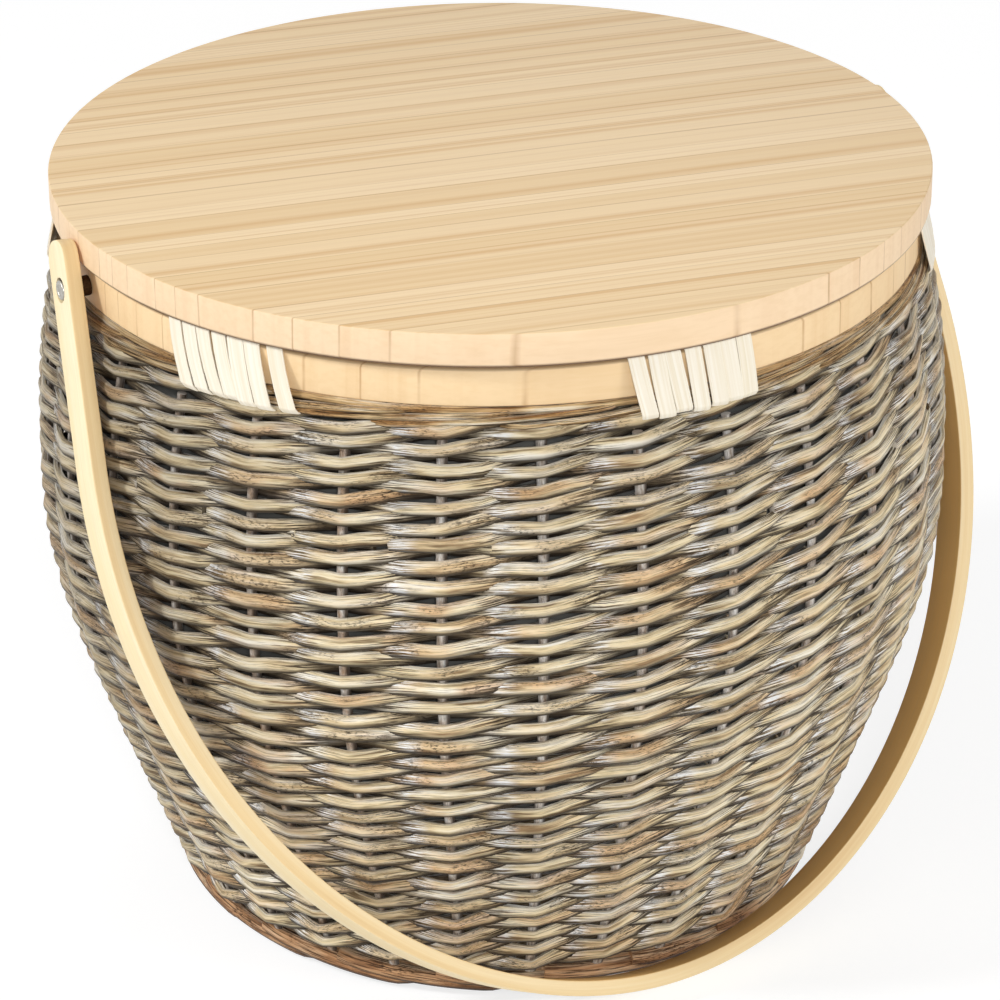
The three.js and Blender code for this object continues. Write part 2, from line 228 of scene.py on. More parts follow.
def tieBundle(bundle, smoothAngle=55):
    piece = newPiece(bundle["points"], [], bundle["faces"])
    layUv(piece.data, bundle["uvs"])
    for label in ("tone", "phase"):
        values = piece.data.attributes.new(label, "FLOAT", "POINT")
        values.data.foreach_set("value", bundle[label + "s"])
    piece.data.update()
    faceOut(smoothAngle)
    return piece


def rodAxes(middles, at):
    # outward and sideways, at one of a rod's points (spot, azimuth, and more)
    before = middles[max(at - 1, 0)][0]
    after = middles[min(at + 1, len(middles) - 1)][0]
    along = (after - before).normalized()
    side = around(1, middles[at][1], 0).cross(along).normalized()
    return along.cross(side).normalized(), side


# Node helpers, which work on the tree that is on the bench
bench = {}


def tint(code):
    # colour code as picked in a paint program, turned to linear light
    parts = [int(code[at:at + 2], 16) / 255 for at in (0, 2, 4)]
    linear = [part / 12.92 if part <= 0.04045 else ((part + 0.055) / 1.055) ** 2.4 for part in parts]
    return (*linear, 1.0)


def feed(socket, value):
    # a value is the output of a node, a colour code, or what the socket holds
    if isinstance(value, bpy.types.NodeSocket):
        socket.id_data.links.new(value, socket)
    else:
        socket.default_value = tint(value) if isinstance(value, str) else value


def put(kind, settings=None, **inputs):
    node = bench["tree"].nodes.new("ShaderNode" + kind)
    for key, value in (settings or {}).items():
        setattr(node, key, value)
    for key, value in inputs.items():
        feed(node.inputs[key.replace("_", " ")], value)
    return node


def fed(kind, settings, values):
    # a node whose inputs are known by their numbers
    node = put(kind, settings)
    for socket, value in values.items():
        feed(node.inputs[socket], value)
    return node.outputs


def sums(operation, *values):
    return fed("Math", {"operation": operation}, dict(enumerate(values)))[0]


def times(first, *others):
    for other in others:
        first = sums("MULTIPLY", first, other)
    return first


def mixed(share, first, second):
    return fed("Mix", {"data_type": "RGBA"}, {0: share, 6: first, 7: second})[2]


def layered(colour, layers):
    # each layer is (share, colour) and goes over the ones before it
    for share, over in layers:
        colour = mixed(share, colour, over)
    return colour


def ramped(value, stops):
    node = put("ValToRGB", None, Fac=value)
    ramp = node.color_ramp
    while len(ramp.elements) < len(stops):
        ramp.elements.new(0.5)
    for element, (place, code) in zip(ramp.elements, stops):
        element.position = place
        element.color = tint(code)
    return node.outputs["Color"]


def spread(value, low, high, toLow=0.0, toHigh=1.0):
    limits = {"From_Min": low, "From_Max": high, "To_Min": toLow, "To_Max": toHigh}
    return put("MapRange", None, Value=value, **limits).outputs["Result"]


def noisy(vector, scale, detail=3.0, roughness=0.55):
    grain = {"Scale": scale, "Detail": detail, "Roughness": roughness}
    return put("TexNoise", None, Vector=vector, **grain).outputs["Fac"]


def stretched(vector, scale):
    return fed("VectorMath", {"operation": "MULTIPLY"}, {0: vector, 1: scale})[0]


def parted(vector):
    return put("SeparateXYZ", None, Vector=vector).outputs


def joined(**parts):
    return put("CombineXYZ", None, **parts).outputs[0]


def attribute(label):
    return put("Attribute", {"attribute_name": label}).outputs["Fac"]


def ownUv():
    return put("UVMap", {"uv_map": "UVMap"}).outputs["UV"]


def objectSpot():
    return put("TexCoord").outputs["Object"]


def seenShare():
    # 1 for what the camera sees, also in a shine or through glass
    rays = put("LightPath").outputs
    seen = sums("MAXIMUM", rays["Is Camera Ray"], rays["Is Glossy Ray"])
    return sums("MAXIMUM", seen, rays["Is Transmission Ray"])


def newGroup(name, values, results):
    # takes a vector and numbers, gives numbers
    group = bpy.data.node_groups.new(name, "ShaderNodeTree")
    bench["tree"] = group
    newSocket = group.interface.new_socket
    newSocket("Vector", in_out="INPUT", socket_type="NodeSocketVector")
    for label, value in values.items():
        newSocket(label, in_out="INPUT", socket_type="NodeSocketFloat").default_value = value
    for label in results:
        newSocket(label, in_out="OUTPUT", socket_type="NodeSocketFloat")
    return group, group.nodes.new("NodeGroupInput").outputs, group.nodes.new("NodeGroupOutput").inputs


def useGroup(group, **inputs):
    return put("Group", {"node_tree": group}, **inputs).outputs


def newFinish(name, **shaderValues):
    finish = bpy.data.materials.new(name)
    finish.use_nodes = True
    bench["tree"] = finish.node_tree
    shader = finish.node_tree.nodes["Principled BSDF"]
    for key, value in shaderValues.items():
        shader.inputs[key.replace("_", " ")].default_value = value
    return finish, shader


def dress(shader, colour, roughness, height=None, strength=0.0, distance=0.0):
    feed(shader.inputs["Base Color"], colour)
    feed(shader.inputs["Roughness"], roughness)
    if height is not None:
        bump = put("Bump", None, Height=height, Strength=strength, Distance=distance)
        feed(shader.inputs["Normal"], bump.outputs["Normal"])


# Shared effect: streaks that run along a rod or strip, on its own UV map
def fibreStreaks():
    kinds = {
        "Broad": {"stretch": (1, 1, 1), "detail": 3.0, "roughness": 0.6},
        "Fine": {"stretch": (7, 7, 2.6), "detail": 4.0, "roughness": 0.62},
        "Patch": {"stretch": (0.35, 0.35, 1.6), "detail": 2.0, "roughness": 0.5},
        "Crackle": {"stretch": (7, 7, 22), "detail": 4.0, "roughness": 0.7},
    }
    starts = {"Shift": 0.0, "Along": 20.0, "Across": 6.0}
    group, given, result = newGroup("fibreStreaks", starts, (*kinds, "Under"))
    apart = parted(given["Vector"])
    turn = times(apart["Y"], 2 * pi)
    ringX = times(sums("COSINE", turn), given["Across"])
    ringY = times(sums("SINE", turn), given["Across"])
    along = times(sums("ADD", apart["X"], given["Shift"]), given["Along"])
    spot = joined(X=ringX, Y=ringY, Z=along)
    for label, kind in kinds.items():
        wide = stretched(spot, kind["stretch"])
        feed(result[label], noisy(wide, 1.0, kind["detail"], kind["roughness"]))
    fromUnder = sums("SUBTRACT", turn, 1.5 * pi)
    feed(result["Under"], sums("COSINE", fromUnder))
    return group


fibres = fibreStreaks()


def rodFinish(name, look):
    # willow: tan to cream in patches, and on a stroke a painted highlight where it comes out, streaked
    # where it dives, with painted shade behind the stakes, on the undersides, beside the handle's legs and
    # under the lid, and a painted highlight along the tops
    finish, shader = newFinish(name, Specular_IOR_Level=0.18)
    tone = attribute("tone")
    phase = attribute("phase")
    shift = times(tone, look["shift"])
    streak = useGroup(fibres, Vector=ownUv(), Shift=shift, Along=look["along"], Across=0.9)
    fine, patch, under = streak["Fine"], streak["Patch"], streak["Under"]
    body = ramped(streak["Broad"], [
        (0.33, look["dark"]), (0.44, look["middle"]), (0.54, look["light"]), (0.66, look["pale"]),
    ])
    warmth = times(spread(patch, 0.40, 0.60), spread(tone, 0, 1, 0.1, 0.75))
    fromStake = sums("ABSOLUTE", phase)
    fibreLine = times(spread(fromStake, 0.10, 0.36, 0.5, 0.95), spread(fine, 0.49, 0.40))
    dive = times(spread(fromStake, 0.22, 0.52), spread(fromStake, 0.8, 0.6, 0.15, 1.0))
    diveLine = times(dive, spread(fine, 0.54, 0.45, 0.0, 0.85))
    # painted shade: darker where the rod passes behind a stake
    behindStakeShade = spread(fromStake, 0.48, 0.74, 0.0, 0.84)
    # painted highlight: a pale glint where a stroke comes out from behind a stake
    comesOut = times(spread(phase, -0.60, -0.46), spread(phase, -0.20, -0.36))
    glint = times(comesOut, spread(patch, 0.43, 0.50), spread(fine, 0.49, 0.54), look["white"])
    worn = spread(patch, 0.53, 0.62)
    crackle = times(worn, spread(streak["Crackle"], 0.54, 0.61, 0.0, 0.75))
    # painted highlight: lighter along the top side of each rod
    topHighlight = times(spread(under, -0.5, -0.95, 0.0, 0.5), spread(fine, 0.45, 0.55))
    # painted shade: darker along the underside of each rod
    undersideShade = spread(under, 0.42, 0.90, 0.0, 0.9)
    # painted shade: darker beside the handle's legs and under the lid, where their shadows fall
    place = parted(objectSpot())
    aside = spread(sums("ABSOLUTE", place["X"]), 0.150, 0.198, 0.0, 0.36)
    below = spread(place["Z"], 0.245, 0.305, 0.0, look["lidShade"])
    # one dark colour for the real flecks and crackle and for the painted shade
    fleckAndShade = look["fleckAndShade"]
    body = layered(body, [
        (warmth, look["warm"]), (fibreLine, look["dark"]), (diveLine, fleckAndShade), (behindStakeShade, fleckAndShade),
        (glint, look["paintedHighlight"]), (crackle, fleckAndShade), (topHighlight, look["paintedHighlight"]), (undersideShade, fleckAndShade),
        (aside, fleckAndShade), (below, fleckAndShade),
    ])
    gloss = spread(fine, 0.3, 0.7, look["rough"] + 0.12, look["rough"] - 0.12)
    height = sums("SUBTRACT", fine, times(crackle, 0.5))
    dress(shader, body, gloss, height, 1.0, 0.0010)
    return finish


willow = {"lidShade": 0.0, "rough": 0.5, "along": 22.0}
greyWillow = rodFinish("greyWashedWillow", {
    **willow,
    "dark": "7f6849", "middle": "edd8ac", "light": "faebc9", "pale": "fef7e6",
    "warm": "ebbd8b", "paintedHighlight": "fefefd", "fleckAndShade": "281f17", "lidShade": 0.16,
    "rough": 0.46, "white": 0.95, "shift": 37.0,
})
stakeWillow = rodFinish("stakeWillow", {
    **willow,
    "dark": "8b7d70", "middle": "cbc0b4", "light": "e7e1d9", "pale": "f7f4f0",
    "warm": "c2986f", "paintedHighlight": "f4f1ec", "fleckAndShade": "463c33", "lidShade": 0.16,
    "white": 0.8, "shift": 51.0, "along": 110.0,
})
borderWillow = rodFinish("borderWillow", {
    **willow,
    "dark": "3c2512", "middle": "d2ae7a", "light": "ebcfa0", "pale": "faeed5",
    "warm": "c68c4e", "paintedHighlight": "f5eee0", "fleckAndShade": "1d140d", "white": 0.6, "shift": 43.0,
})
brownWillow = rodFinish("brownWillow", {
    **willow,
    "dark": "5a3d28", "middle": "b3865e", "light": "d8ae84", "pale": "ebcfab",
    "warm": "b98154", "paintedHighlight": "efdcc0", "fleckAndShade": "241710", "white": 0.35, "shift": 47.0,
})
print("finishes for the willow are ready")

# Outer shape of the woven wall, as in the solid model
wallForm = {
    "footRadius": 0.152, "bellyRadius": 0.212, "bellyHeight": 0.215,
    "mouthRadius": 0.199, "mouthHeight": 0.320, "footFlare": 20, "mouthFlare": 14,
    "footPull": 0.52, "underBellyPull": 0.28, "overBellyPull": 0.4, "mouthPull": 0.3, "steps": 120,
}


def wallCurve():
    form = wallForm
    lowSpan = form["bellyHeight"]
    highSpan = form["mouthHeight"] - form["bellyHeight"]
    footRun = lowSpan * form["footPull"]
    mouthRun = highSpan * form["mouthPull"]
    footLean = tan(radians(form["footFlare"]))
    mouthLean = tan(radians(form["mouthFlare"]))
    belly = Vector((form["bellyRadius"], form["bellyHeight"]))
    mouth = Vector((form["mouthRadius"], form["mouthHeight"]))
    lower = [
        Vector((form["footRadius"], 0)),
        Vector((form["footRadius"] + footRun * footLean, footRun)),
        belly - Vector((0, lowSpan * form["underBellyPull"])),
        belly,
    ]
    upper = [
        belly,
        belly + Vector((0, highSpan * form["overBellyPull"])),
        mouth + Vector((mouthRun * mouthLean, -mouthRun)),
        mouth,
    ]
    shares = [step / form["steps"] for step in range(form["steps"] + 1)]
    spots = [cubicSpot(curve, share) for curve in (lower, upper) for share in shares]
    return np.array([spot.y for spot in spots]), np.array([spot.x for spot in spots])


wallHeights, wallRadii = wallCurve()


def wallRadius(height):
    return float(np.interp(height, wallHeights, wallRadii))


# Rods of the weave
weave = {
    "stakes": 30, "stakeRadius": 0.0025, "stakeFlat": 0.0016, "stakeSteps": 26, "stakeStray": 0.05,
    "phase": 4.0, "rodHalf": 0.0021, "pressed": 0.0015,
    "bottom": 0.0133, "split": 0.250, "top": 0.3125, "firstRow": 0.0098,
    "rowHeights": (0.010, 0.110, 0.150, 0.205, 0.250, 0.280, 0.310),
    "rowPitches": (0.0090, 0.0092, 0.0099, 0.0101, 0.0091, 0.0083, 0.0079),
    "buttWidth": 0.0061, "tipWidth": 0.0072, "upperButt": 0.0069, "upperTip": 0.0065,
    "lowerStart": -1.2, "lowerEnd": 1.42, "upperStart": -0.52, "upperEnd": 1.3,
    "swell": -0.01, "footSwell": -0.25, "hug": 0.9985, "stray": 0.0015, "girthStray": 0.1,
    "lump": 0.0006, "lumpWidth": 0.04, "lumpSink": 0.00012, "lumpPace": 2.7,
    "boxy": 0.76, "roll": 14, "rollPace": 2.2,
    "packedLow": 0.030, "packedHigh": 0.150, "footSwing": 1.3, "footDip": 0.0019, "dip": 0.0006,
    "strokes": (0.0, 0.05, 0.18, 0.40, 0.60, 0.82, 0.95), "leastStroke": 0.04,
}


def rowTable():
    heights = [weave["bottom"] + weave["firstRow"]]
    while heights[-1] < weave["top"] + 0.03:
        here = heights[-1]
        heights.append(here + float(np.interp(here, weave["rowHeights"], weave["rowPitches"])))
    return heights


rowLevels = rowTable()


def rowHeight(row):
    if row < 0:
        return rowLevels[0] + row * (rowLevels[1] - rowLevels[0])
    return float(np.interp(row, np.arange(len(rowLevels)), rowLevels))


splitRow = min(range(len(rowLevels)), key=lambda row: abs(rowLevels[row] - weave["split"]))
topRow = max(row for row, level in enumerate(rowLevels) if level < weave["top"] - 0.001)
print("weave rows:", splitRow, "lower,", topRow - splitRow, "upper")


def between(values, place, eased=False):
    # from one random value to the next
    low = int(place)
    part = place - low
    if eased:
        part = part * part * (3 - 2 * part)
    return values[low] * (1 - part) + values[low + 1] * part


def packed(height, atFoot, above):
    return float(np.interp(height, (weave["packedLow"], weave["packedHigh"]), (atFoot, above)))


def swingReach(height):
    return (weave["stakeFlat"] + weave["pressed"]) * packed(height, weave["footSwing"], 1.0)


def stakeCentre(height):
    return wallRadius(height) - weave["pressed"] - swingReach(height)


def weaverStations(stake, startTurn, endTurn, startWidth, endWidth, rowShift, seed):
    # turns count stakes from the rod's first stroke, and it rises a row for every two
    chance = random.Random(seed)
    least = weave["leastStroke"]
    wholes = range(int(startTurn) - 1, int(endTurn) + 1)
    inner = [whole + part for whole in wholes for part in weave["strokes"]]
    turns = [startTurn] + [turn for turn in inner if startTurn + least < turn < endTurn - least] + [endTurn]
    span = int(endTurn - startTurn) + 3
    counts = (span, span, 3 * span, 3 * span)
    stray, girth, lumps, rolls = [[chance.uniform(-1, 1) for _ in range(count)] for count in counts]
    bend = asin(weave["hug"])
    middles = []
    phases = []
    for turn in turns:
        gone = turn - startTurn
        share = gone / (endTurn - startTurn)
        swing = asin(weave["hug"] * cos(pi * turn)) / bend
        lump = between(lumps, weave["lumpPace"] * gone, True)
        height = rowHeight(rowShift + turn / 2) + weave["lump"] * lump
        height -= swing * packed(height, weave["footDip"], weave["dip"])
        height += weave["stray"] * between(stray, gone, True)
        width = startWidth + (endWidth - startWidth) * share
        swell = packed(height, weave["footSwell"], weave["swell"])
        width *= 1 + swell * cos(2 * pi * turn) + weave["lumpWidth"] * lump
        width *= 1 + weave["girthStray"] * between(girth, gone, True)
        halfOut = weave["rodHalf"] + (weave["pressed"] - weave["rodHalf"]) * abs(swing)
        radius = stakeCentre(height) + swingReach(height) * swing - weave["lumpSink"] * abs(lump)
        azimuth = radians(weave["phase"] + (stake + turn) * 360 / weave["stakes"])
        middles.append((around(radius, azimuth, height), azimuth, halfOut, width / 2))
        phases.append((turn + 1) % 2 - 1)
    stations = []
    for at, (spot, azimuth, halfOut, halfSide) in enumerate(middles):
        outward, side = rodAxes(middles, at)
        roll = radians(weave["roll"]) * between(rolls, weave["rollPace"] * (turns[at] - startTurn), True)
        rolledOut = outward * cos(roll) + side * sin(roll)
        rolledSide = side * cos(roll) - outward * sin(roll)
        stations.append((spot, rolledOut, rolledSide, halfOut, halfSide))
    return stations, phases


lowerWeave = newBundle()
upperWeave = newBundle()
for stake in range(weave["stakes"]):
    lastTurn = 2 * splitRow + weave["lowerEnd"] + dice.uniform(-0.12, 0.1)
    stations, phases = weaverStations(
        stake, weave["lowerStart"], lastTurn, weave["buttWidth"] * dice.uniform(0.9, 1.08),
        weave["tipWidth"] * dice.uniform(0.9, 1.08), 0, 100 + stake)
    layRod(lowerWeave, stations, dice.random(), 8, dice.uniform(0, 9), weave["boxy"], phases)
    lastTurn = 2 * (topRow - splitRow - 1) + weave["upperEnd"]
    stations, phases = weaverStations(
        stake, weave["upperStart"], lastTurn, weave["upperButt"] * dice.uniform(0.9, 1.1),
        weave["upperTip"] * dice.uniform(0.9, 1.1), splitRow + 1, 300 + stake)
    layRod(upperWeave, stations, dice.random(), 8, dice.uniform(0, 9), weave["boxy"], phases)
settle(tieBundle(lowerWeave), "lower_weavers", greyWillow, "basket", "willow", "lower_siding")
settle(tieBundle(upperWeave), "upper_weavers", greyWillow, "basket", "willow", "upper_siding")
print("wall woven")

# Stakes
for stake in range(weave["stakes"]):
    node = f"stake_{stake + 1:02d}"
    bundle = newBundle()
    chance = random.Random(500 + stake)
    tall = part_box(node)[1].z - weave["bottom"]
    stations = []
    for step in range(weave["stakeSteps"] + 1):
        height = weave["bottom"] + tall * step / weave["stakeSteps"]
        half = weave["stakeRadius"] * (1 + weave["stakeStray"] * chance.uniform(-1, 1))
        spot = Vector((0, -stakeCentre(height), height))
        stations.append((spot, Vector((0, -1, 0)), Vector((-1, 0, 0)), weave["stakeFlat"], half))
    layRod(bundle, stations, dice.random(), 10, chance.uniform(0, 9))
    piece = tieBundle(bundle)
    piece.data.transform(turned(weave["phase"] + stake * 360 / weave["stakes"]))
    settle(piece, f"stake_rod_{stake + 1:02d}", stakeWillow, "basket", "willow_stake", node)
print("stakes set")

# Borders: slanting rods, each over the one before it
topBorder = {
    "rods": 25, "span": 40, "from": 0.3112, "to": 0.3179, "rodHalf": 0.0018, "outer": 0.2013,
    "uneven": 0.0006, "startTuck": 0.009, "endTuck": 0.012, "slip": 0.0030,
    "inner": 0.1920, "innerTurn": 5, "innerSlip": -0.002,
    "hoop": 0.1950, "hoopOut": 0.0022, "hoopUp": 0.0021,
}
footBorder = {
    "rods": 20, "span": 34, "from": 0.0102, "to": 0.0041, "rodHalf": 0.0040, "outer": 0.1544,
    "uneven": 0.0005, "startTuck": 0.0015, "endTuck": 0.009, "slip": 0.0022,
    "hoop": 0.1452, "hoopHeight": 0.0078, "hoopOut": 0.0050, "hoopUp": 0.0046,
}
slant = {
    "steps": 22, "wobble": 0.0004, "starts": 0.12, "ends": 0.8, "bend": 1.3, "girthStray": 0.05,
    "buttGirth": 1.06, "thinner": 0.14, "startStray": 1.5, "streaked": 0.34, "hoopSteps": 90,
}
streakedPhases = [slant["streaked"]] * (slant["steps"] + 1)


def slantRod(border, start, radius, startTuck, endTuck, slip, seed):
    # goes from inside, out along the face and back inside at its end
    chance = random.Random(seed)
    wobble = [chance.uniform(-1, 1) for _ in range(4)]
    middles = []
    for step in range(slant["steps"] + 1):
        share = step / slant["steps"]
        azimuth = radians(start + border["span"] * share)
        height = border["from"] + (border["to"] - border["from"]) * share
        height += slant["wobble"] * sin(5 * share + wobble[0] * 3) * wobble[1]
        atStart = max(0, slant["starts"] - share) / slant["starts"]
        atEnd = max(0, share - slant["ends"]) / (1 - slant["ends"])
        hidden = startTuck * atStart ** slant["bend"] + endTuck * atEnd ** slant["bend"]
        middles.append((around(radius - slip * share - hidden, azimuth, height), azimuth))
    stations = []
    for at, (spot, azimuth) in enumerate(middles):
        outward, side = rodAxes(middles, at)
        girth = border["rodHalf"] * (1 + slant["girthStray"] * wobble[2])
        girth *= slant["buttGirth"] - slant["thinner"] * at / slant["steps"]
        stations.append((spot, outward, side, girth, girth))
    return stations


def outerRod(bundle, border, start, sides, seed):
    reach = border["outer"] - border["rodHalf"] - dice.uniform(0, border["uneven"])
    stations = slantRod(border, start, reach, border["startTuck"], border["endTuck"], border["slip"], seed)
    layRod(bundle, stations, dice.random(), sides, dice.uniform(0, 9), 1.0, streakedPhases)


def layHoop(bundle, border, height):
    turns = [2 * pi * step / slant["hoopSteps"] for step in range(slant["hoopSteps"] + 1)]
    layRod(bundle, [
        (around(border["hoop"], turn, height), around(1, turn, 0), up, border["hoopOut"], border["hoopUp"])
        for turn in turns], 0.5)


borderRods = newBundle()
for rod in range(topBorder["rods"]):
    begin = rod * 360 / topBorder["rods"] + dice.uniform(-slant["startStray"], slant["startStray"])
    outerRod(borderRods, topBorder, begin, 8, 700 + rod)
    begin += topBorder["innerTurn"]
    stations = slantRod(topBorder, begin, topBorder["inner"], 0.0, 0.0, topBorder["innerSlip"], 800 + rod)
    layRod(borderRods, stations, dice.random(), 8, dice.uniform(0, 9))
layHoop(borderRods, topBorder, topBorder["to"])
settle(tieBundle(borderRods), "top_border_rods", borderWillow, "basket", "brown_rod", "top_border")
footRods = newBundle()
for rod in range(footBorder["rods"]):
    begin = rod * 360 / footBorder["rods"] + dice.uniform(-slant["startStray"], slant["startStray"])
    outerRod(footRods, footBorder, begin, 10, 900 + rod)
layHoop(footRods, footBorder, footBorder["hoopHeight"])
settle(tieBundle(footRods), "foot_border_rods", brownWillow, "basket", "brown_rod", "foot_border")
print("borders laid")

# Base: weavers in rings over and under crossed sticks
base = {
    "sticks": 8, "stickHalf": 0.003, "middle": 0.009, "reach": 0.1384, "inner": 0.020, "outer": 0.1365,
    "ringPitch": 0.0044, "weaverHalf": 0.0012, "weaverSide": 0.0021, "stickSteps": 8, "spokeSteps": 6,
}
baseSticks = newBundle()
for stick in range(base["sticks"]):
    along = around(1, pi * stick / base["sticks"], 0)
    stations = []
    for step in range(base["stickSteps"] + 1):
        spot = along * (base["reach"] * (2 * step / base["stickSteps"] - 1)) + up * base["middle"]
        stations.append((spot, up, along.cross(up), base["stickHalf"], base["stickHalf"]))
    layRod(baseSticks, stations, dice.random(), 8, dice.uniform(0, 9))
settle(tieBundle(baseSticks), "base_sticks", stakeWillow, "basket", "willow_stake", "base_cross")
baseRings = newBundle()
spokes = 2 * base["sticks"]
ringSteps = spokes * base["spokeSteps"]
for ring in range(int((base["outer"] - base["inner"]) / base["ringPitch"])):
    radius = base["inner"] + ring * base["ringPitch"]
    stations = []
    for step in range(ringSteps + 1):
        turn = step / ringSteps * spokes
        azimuth = 2 * pi * turn / spokes
        lift = (base["stickHalf"] + base["weaverHalf"]) * cos(pi * (turn + ring % 2))
        spot = around(radius, azimuth, base["middle"] + lift)
        stations.append((spot, up, around(1, azimuth, 0), base["weaverHalf"], base["weaverSide"]))
    layRod(baseRings, stations, dice.random(), 6, dice.uniform(0, 9))
settle(tieBundle(baseRings), "base_weavers", greyWillow, "basket", "willow", "base_weave")
print("base woven")

# Cloth liner: wall, floor and turned hem
liner = {
    "inset": 0.0134, "thickness": 0.0009, "floorHeight": 0.0156, "top": 0.3047, "bottom": 0.0168,
    "folds": 0.0012, "hem": 0.018, "hemStep": 0.0021, "ripple": 0.0002, "thread": 0.0011,
    "uvGirth": 1.2, "uvHeight": 0.3, "smoothAngle": 50,
}


def clothFinish():
    # plain weave on the UV map in metres, with a slow change of tone
    finish, shader = newFinish("slateCloth", Specular_IOR_Level=0.2, Sheen_Weight=0.15)
    uv = ownUv()
    halves = parted(uv)
    threads = 2 * pi / liner["thread"]
    warp = sums("SINE", times(halves["X"], threads))
    weft = sums("SINE", times(halves["Y"], threads))
    grid = times(warp, weft)
    slow = noisy(uv, 30.0, 4.0)
    colour = layered("626360", [
        (spread(slow, 0.35, 0.65), "787772"), (spread(grid, -1, 1, 0.0, 0.3), "464643"),
    ])
    dress(shader, colour, 0.92, grid, 0.5, 0.0003)
    return finish


slateCloth = clothFinish()


def linerSheet(part, rows, turns, spotAt):
    # rows run up, turns run round, and the area is the bare sheet's
    points = [spotAt(row / rows, 2 * pi * turn / turns) for row in range(rows + 1) for turn in range(turns)]
    faces = []
    uvs = []
    for row in range(rows):
        here = row * turns
        low, high = [(row + step) / rows * liner["uvHeight"] for step in (0, 1)]
        for turn in range(turns):
            other = (turn + 1) % turns
            left, right = [(turn + step) / turns * liner["uvGirth"] for step in (0, 1)]
            faces.append((here + turn, here + other, here + turns + other, here + turns + turn))
            uvs.append([(left, low), (right, low), (right, high), (left, high)])
    piece = newPiece(points, [], faces)
    layUv(piece.data, uvs)
    setMode("EDIT")
    weld()
    setMode("OBJECT")
    area = sum(face.area for face in piece.data.polygons)
    wall = piece.modifiers.new("thickness", "SOLIDIFY")
    wall.thickness = liner["thickness"]
    wall.offset = 0
    bpy.ops.object.modifier_apply(modifier=wall.name)
    faceOut(liner["smoothAngle"])
    return settle(piece, f"liner_{part}_cloth", slateCloth, "basket", "liner_cloth", f"liner_{part}"), area


def foldDepth(azimuth, share):
    # shallow upright folds that grow towards the foot, where the cloth is gathered
    wave = sin(15 * azimuth + 0.8) + 0.6 * sin(23 * azimuth + 2.1) + 0.5 * sin(37 * azimuth)
    return liner["folds"] * (1.25 - 0.9 * share) * (0.5 + 0.25 * wave)


def linerWallSpot(share, azimuth):
    height = liner["bottom"] + (liner["top"] - liner["bottom"]) * share
    radius = wallRadius(height) - liner["inset"] - liner["thickness"] - foldDepth(azimuth, share)
    return around(radius, azimuth, height)


def linerFloorSpot(share, azimuth):
    edge = wallRadius(liner["floorHeight"]) - liner["inset"] - liner["thickness"]
    ripple = liner["ripple"] * sin(9 * share + 3 * azimuth) * share
    return around(edge * share, azimuth, liner["floorHeight"] + ripple)


def linerHemSpot(share, azimuth):
    height = liner["top"] - liner["hem"] * (1 - share)
    inset = liner["inset"] + liner["thickness"] + liner["hemStep"] + foldDepth(azimuth, 0.95)
    return around(wallRadius(height) - inset, azimuth, height)


linerWall, wallArea = linerSheet("wall", 24, 150, linerWallSpot)
linerFloor, floorArea = linerSheet("floor", 14, 90, linerFloorSpot)
linerHem, hemArea = linerSheet("hem", 4, 150, linerHemSpot)
print("liner hung")

# Pine: narrow glued strips, each with its own tone, lines that run through the thickness
pine = {"strip": 0.0145, "turn": 9, "warp": 0.022, "drift": 0.0035, "edgeFade": 0.0003, "edgeMarks": 0.55}


def pineStrips():
    starts = {"Width": pine["strip"], "Shift": 0.0}
    group, given, result = newGroup("pineStrips", starts, ("Tone", "Line", "Grain", "Fibre"))
    spot = given["Vector"]
    across = parted(spot)["Y"]
    warp = noisy(joined(X=sums("ADD", across, given["Shift"])), 33.0, 0.0)
    drift = noisy(stretched(spot, (2.2, 9, 9)), 1.0, 2.0)
    place = sums("ADD", across, times(warp, pine["warp"]))
    place = sums("ADD", place, times(drift, pine["drift"]))
    place = sums("ADD", place, given["Shift"])
    count = sums("DIVIDE", place, given["Width"])
    index = sums("FLOOR", count)
    part = sums("SUBTRACT", count, index)
    tone = put("TexWhiteNoise", {"noise_dimensions": "1D"}, W=index).outputs["Value"]
    fromEdge = sums("MINIMUM", part, sums("SUBTRACT", 1.0, part))
    fade = noisy(stretched(spot, (5, 60, 60)), 1.0, 1.0)
    line = times(spread(fromEdge, 0.0, 0.03, 1.0, 0.0), spread(fade, 0.3, 0.6, 0.25, 1.0))
    band = noisy(joined(X=times(place, 170.0), Y=tone), 1.0, 3.0, 0.6)
    fibre = noisy(stretched(spot, (14, 420, 420)), 1.0, 4.0, 0.6)
    feed(result["Tone"], tone)
    feed(result["Line"], line)
    feed(result["Grain"], spread(band, 0.50, 0.66))
    feed(result["Fibre"], fibre)
    return group


pineGroup = pineStrips()


